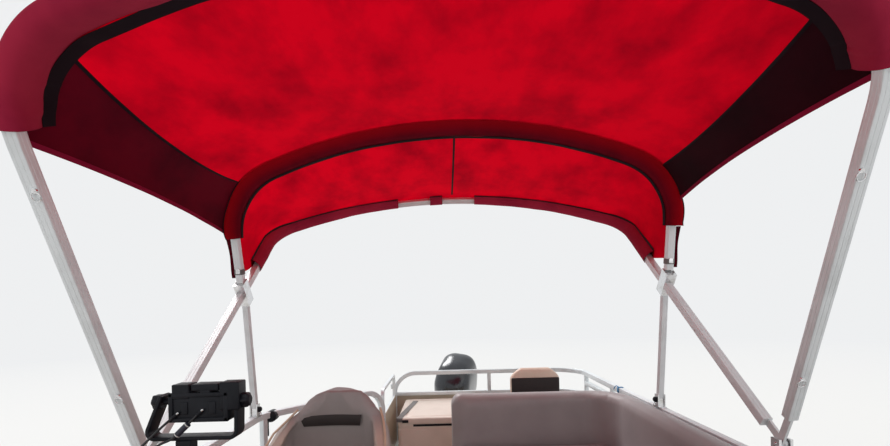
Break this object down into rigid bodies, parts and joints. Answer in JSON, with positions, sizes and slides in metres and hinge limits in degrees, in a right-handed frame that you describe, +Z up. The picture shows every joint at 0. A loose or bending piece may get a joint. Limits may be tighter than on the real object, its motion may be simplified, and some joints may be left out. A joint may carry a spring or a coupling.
{
  "type": "pontoon boat",
  "caption": "Twin-tube fishing pontoon boat with railed deck, helm console, couch, swivel chairs, folding canvas canopy, boarding ladder and tilting outboard motor.",
  "frame": {"origin": "middle of the plan box, at the underside of the keel strips", "axes": "+X to the bow, +Y to port, +Z up"},
  "size_m": [7.7153, 2.444, 2.997],
  "materials": {
    "hull_aluminium": "brushed, lightly weathered",
    "mill_aluminium": "mill finish",
    "deck_board": "treated plywood",
    "flooring": "woven marine flooring",
    "trim_aluminium": "anodised",
    "bright_fittings": "polished",
    "canopy_tube": "bright anodised",
    "rail_tube": "bright anodised",
    "skin_panel": "satin paint",
    "canvas": "woven acrylic",
    "vinyl": "marine vinyl",
    "moulded_base": "rotomoulded",
    "black_plastic": "moulded",
    "wheel_rim": "soft grip",
    "box_plastic": "rotomoulded",
    "motor_casting": "satin enamel",
    "motor_cowl": "gloss enamel",
    "propeller_metal": "gloss enamel",
    "cable": "cable jacket",
    "plug_metal": "bright collar"
  },
  "bodies": {
    "root": {"aft_box_body": "box_plastic", "canopy_aft_bow": "canopy_tube", "canopy_fittings": "bright_fittings", "canopy_mid_bow": "canopy_tube", "canopy_rear_posts": "canopy_tube", "canvas_aft": "canvas", "canvas_fore": "canvas", "console_body": "moulded_base", "couch_backs": "vinyl", "couch_base": "moulded_base", "couch_seats": "vinyl", "crossmembers": "mill_aluminium", "deck_board": "deck_board", "deck_fittings": "bright_fittings", "deck_flooring": "flooring", "deck_trim": "trim_aluminium", "fence_bow_port_frame": "rail_tube", "fence_bow_port_skin": "skin_panel", "fence_bow_starboard_frame": "rail_tube", "fence_bow_starboard_skin": "skin_panel", "fence_port_frame": "rail_tube", "fence_port_skin": "skin_panel", "fence_starboard_frame": "rail_tube", "fence_starboard_skin": "skin_panel", "gate_lugs": "bright_fittings", "motor_clamp": "motor_casting", "motor_pod": "hull_aluminium", "plotter_bail": "black_plastic", "plotter_cable_inboard": "cable", "plotter_cable_outboard": "cable", "plotter_cradle": "black_plastic", "plotter_plugs": "plug_metal", "plotter_stem": "black_plastic", "pontoon_port": "hull_aluminium", "pontoon_starboard": "hull_aluminium", "seat_pedestals": "bright_fittings", "steering_column": "black_plastic", "throttle": "black_plastic"},
    "fore_bow": {"canopy_fore_bow": "canopy_tube"},
    "bow_gate": {"bow_gate_frame": "rail_tube", "bow_gate_panel": "skin_panel"},
    "side_gate": {"side_gate_frame": "rail_tube", "side_gate_panel": "skin_panel"},
    "aft_gate": {"aft_gate_frame": "rail_tube", "aft_gate_panel": "skin_panel"},
    "steering_wheel": {"steering_wheel": "wheel_rim"},
    "helm_chair": {"helm_seat": "vinyl", "helm_back": "vinyl"},
    "box_lid": {"aft_box_lid": "box_plastic"},
    "ladder": {"ladder": "trim_aluminium"},
    "motor_swivel": {"motor_swivel": "motor_casting"},
    "motor": {"motor_leg": "motor_casting", "motor_cowl": "motor_cowl"},
    "propeller": {"propeller": "propeller_metal"},
    "aft_chair": {"aft_chair_seat": "vinyl"},
    "aft_chair_back": {"aft_chair_back": "vinyl"},
    "bow_chair_port": {"bow_chair_port_seat": "vinyl"},
    "bow_chair_port_back": {"bow_chair_port_back": "vinyl"},
    "bow_chair_starboard": {"bow_chair_starboard_seat": "vinyl"},
    "bow_chair_starboard_back": {"bow_chair_starboard_back": "vinyl"}
  },
  "joints": [
    {"name": "canopy_fore_fold", "type": "hinge", "parent": "root", "child": "fore_bow", "pos_m": [0.552, 0, 1.525], "axis": [0, -1, 0], "range_deg": [0, 42], "deforming": ["canvas_fore"]},
    {"name": "bow_gate_swing", "type": "hinge", "parent": "root", "child": "bow_gate", "pos_m": [3.025, 0.363, 1.1], "axis": [0, 0, -1], "range_deg": [0, 95]},
    {"name": "side_gate_swing", "type": "hinge", "parent": "root", "child": "side_gate", "pos_m": [2.121, 1.15, 1.1], "axis": [0, 0, 1], "range_deg": [0, 95]},
    {"name": "aft_gate_swing", "type": "hinge", "parent": "root", "child": "aft_gate", "pos_m": [-2.141, -0.582, 1.1], "axis": [0, 0, -1], "range_deg": [0, 90]},
    {"name": "steering_wheel_turn", "type": "hinge", "parent": "root", "child": "steering_wheel", "pos_m": [0.852, -0.53, 1.4], "axis": [-0.9272, 0, 0.3746], "range_deg": [-1061, 341]},
    {"name": "helm_swivel", "type": "hinge", "parent": "root", "child": "helm_chair", "pos_m": [0.4, -0.56, 1.065], "axis": [0, 0, 1], "continuous": true},
    {"name": "box_lid_hinge", "type": "hinge", "parent": "root", "child": "box_lid", "pos_m": [-2.117, -0.15, 1.154], "axis": [0, -1, 0], "range_deg": [0, 85]},
    {"name": "ladder_fold", "type": "hinge", "parent": "root", "child": "ladder", "pos_m": [-2.71, -0.895, 0.779], "axis": [0, -1, 0], "range_deg": [0, 255]},
    {"name": "motor_tilt", "type": "hinge", "parent": "root", "child": "motor_swivel", "pos_m": [-3.056, 0, 0.76], "axis": [0, 1, 0], "range_deg": [-31, 43]},
    {"name": "motor_steer", "type": "hinge", "parent": "motor_swivel", "child": "motor", "pos_m": [-3.12283, 0, 0.79405], "axis": [0.454, 0, 0.891], "range_deg": [-17, 53]},
    {"name": "propeller_spin", "type": "hinge", "parent": "motor", "child": "propeller", "pos_m": [-3.7652, 0.11588, 0.31889], "axis": [0.8474, -0.309, -0.4317], "continuous": true},
    {"name": "aft_chair_swivel", "type": "hinge", "parent": "root", "child": "aft_chair", "pos_m": [-1.47, 0.6, 1.045], "axis": [0, 0, 1], "continuous": true},
    {"name": "aft_chair_back_fold", "type": "hinge", "parent": "aft_chair", "child": "aft_chair_back", "pos_m": [-1.255, 0.6, 1.22], "axis": [0, -1, 0], "range_deg": [0, 90]},
    {"name": "bow_chair_port_swivel", "type": "hinge", "parent": "root", "child": "bow_chair_port", "pos_m": [2.54, 0.74, 1.045], "axis": [0, 0, 1], "continuous": true},
    {"name": "bow_chair_port_back_fold", "type": "hinge", "parent": "bow_chair_port", "child": "bow_chair_port_back", "pos_m": [2.325, 0.74, 1.22], "axis": [0, 1, 0], "range_deg": [0, 90]},
    {"name": "bow_chair_starboard_swivel", "type": "hinge", "parent": "root", "child": "bow_chair_starboard", "pos_m": [2.54, -0.74, 1.045], "axis": [0, 0, 1], "continuous": true},
    {"name": "bow_chair_starboard_back_fold", "type": "hinge", "parent": "bow_chair_starboard", "child": "bow_chair_starboard_back", "pos_m": [2.325, -0.74, 1.22], "axis": [0, 1, 0], "range_deg": [0, 90]}
  ],
  "couplings": [
    {"joint": "steering_wheel_turn", "follows": "motor_steer", "ratio": -20}
  ]
}
